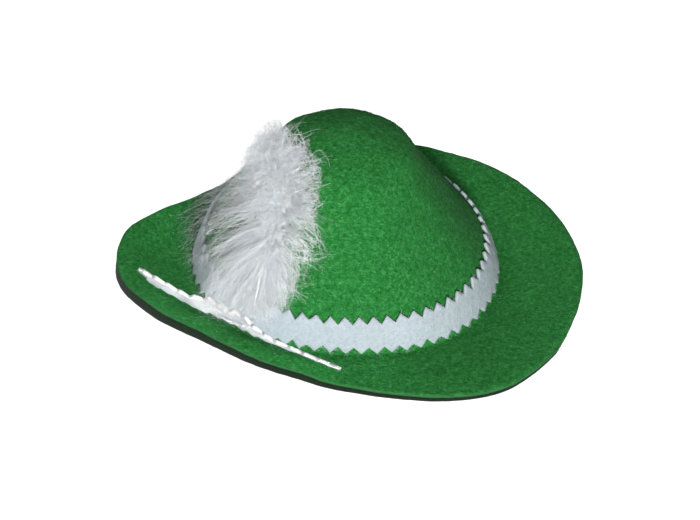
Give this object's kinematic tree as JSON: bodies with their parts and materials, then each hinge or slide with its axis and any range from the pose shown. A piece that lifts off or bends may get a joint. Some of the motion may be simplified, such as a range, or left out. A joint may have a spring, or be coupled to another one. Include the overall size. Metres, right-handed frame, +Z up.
{
  "type": "tyrolean hat",
  "caption": "Miniature felt tyrolean hat: rounded sloping crown, narrow raised brim, pinked felt band, cross strip held by a staple, and an upright fluffy down feather.",
  "frame": {"origin": "middle of the hat's box seen from above, level with the surface it rests on", "axes": "+Z up, +X along the hat's length to its broad low end, -Y towards the side with the feather and strip"},
  "size_m": [0.175, 0.1376, 0.0665],
  "materials": {
    "green_felt": "matt fuzzy felt",
    "pale_felt": "matt felt with cut edges",
    "pale_felt_strip": "matt felt with cut edges",
    "staple_steel": "bright wire",
    "down": "soft white down"
  },
  "bodies": {
    "root": {"felt_body": "green_felt", "hat_band": "pale_felt", "band_strip": "pale_felt_strip", "staple": "staple_steel", "feather": "down"}
  },
  "joints": []
}
